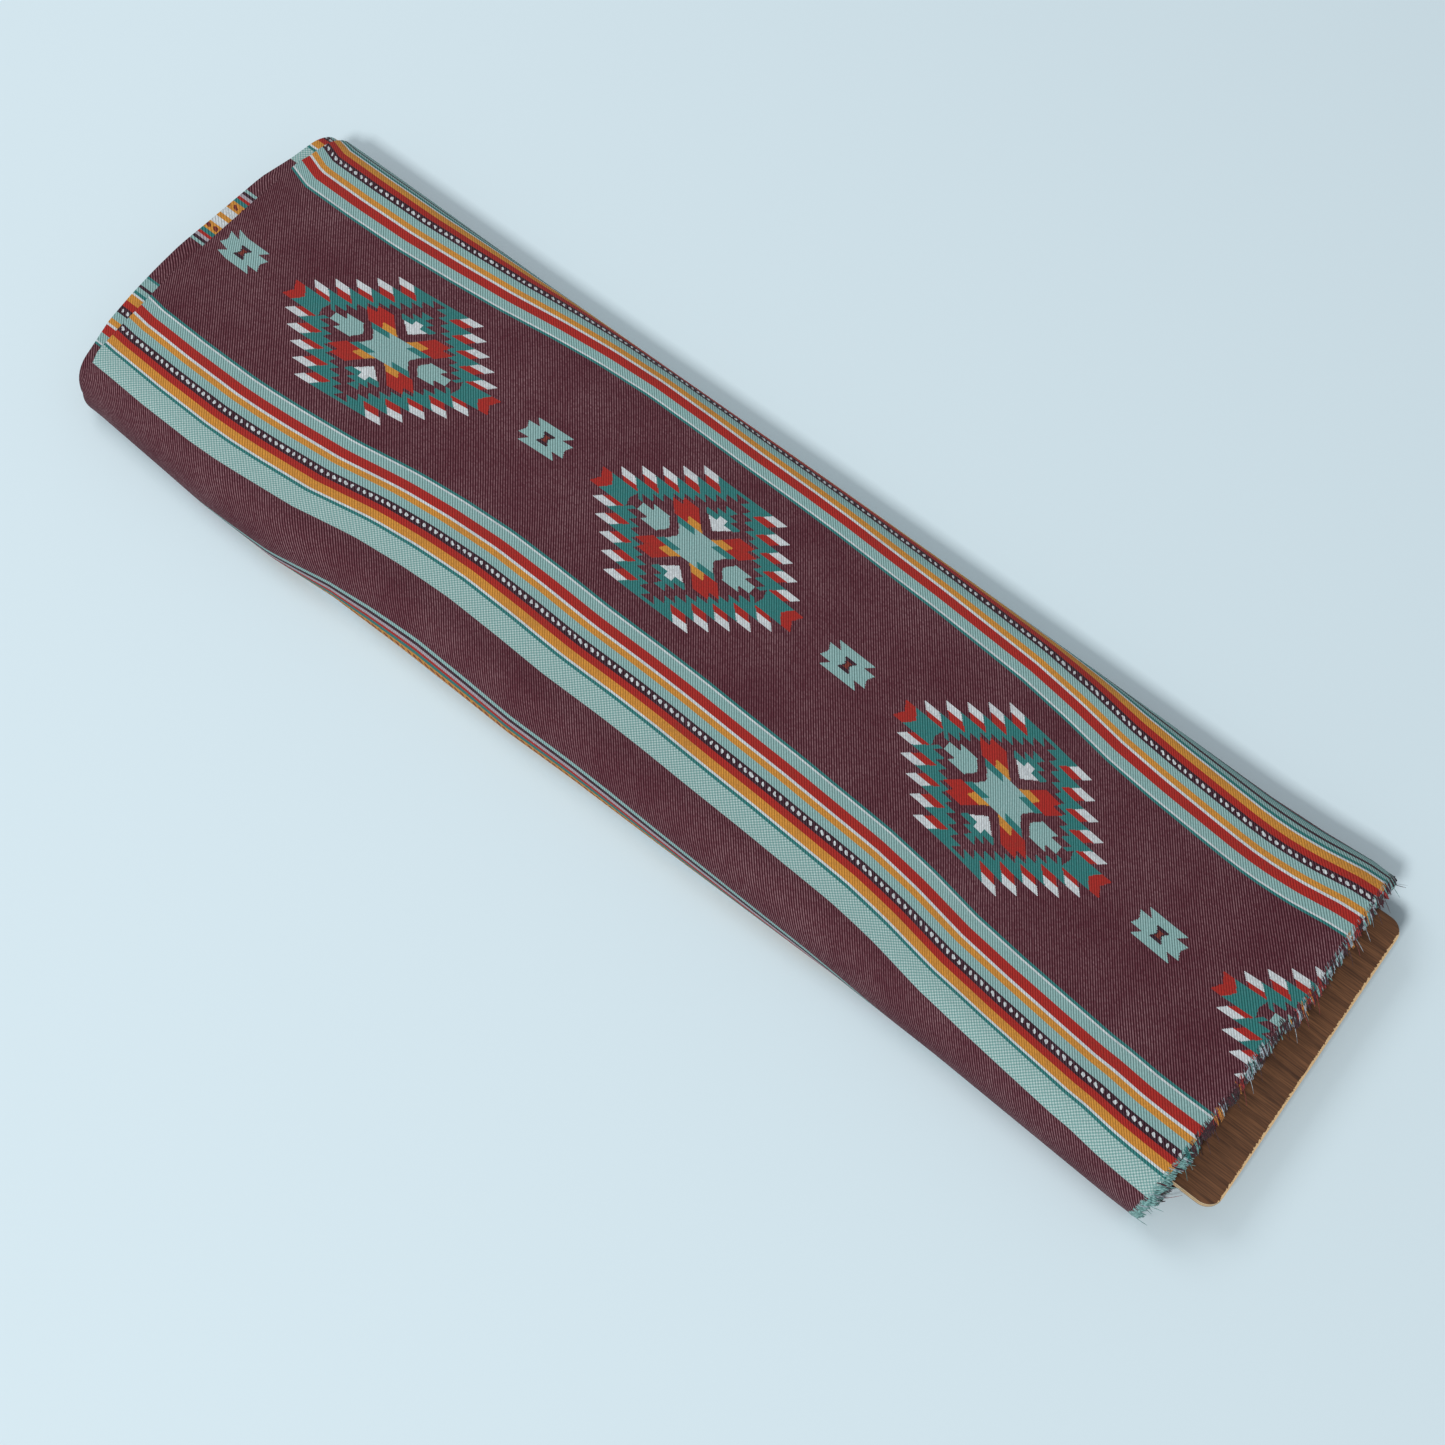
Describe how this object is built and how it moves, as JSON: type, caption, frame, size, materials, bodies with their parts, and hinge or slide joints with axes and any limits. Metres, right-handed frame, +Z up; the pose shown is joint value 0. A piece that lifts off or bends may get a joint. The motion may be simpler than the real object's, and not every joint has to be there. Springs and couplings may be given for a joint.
{
  "type": "table runner",
  "caption": "Striped and medallion-patterned jacquard cloth, folded double and wound crosswise in flat turns round a thin veneered board that slides out at the fringed end.",
  "frame": {"origin": "middle of the underside, where the wound cloth rests on a surface", "axes": "+X along the board from the cloth's folded end to its fringed selvedges, +Y across towards the far long side, +Z up"},
  "size_m": [0.722, 0.212, 0.0318],
  "materials": {
    "cloth": "matte woven",
    "yarn": "matte cut yarn",
    "veneer": "satin",
    "ply": "bare sawn edge"
  },
  "bodies": {
    "cloth": {"inner_turn": "cloth", "second_turn": "cloth", "third_turn": "cloth", "outer_turn": "cloth", "under_tail": "cloth", "selvedge_fringe": "yarn"},
    "board": {"board_face_veneer": "veneer", "board_front_ply": "ply", "board_core_ply": "ply", "board_back_ply": "ply", "board_back_veneer": "veneer"}
  },
  "joints": [
    {"name": "board_slide", "type": "slide", "parent": "cloth", "child": "board", "axis": [1, 0, 0], "range_m": [-0.016, 0.68]}
  ]
}
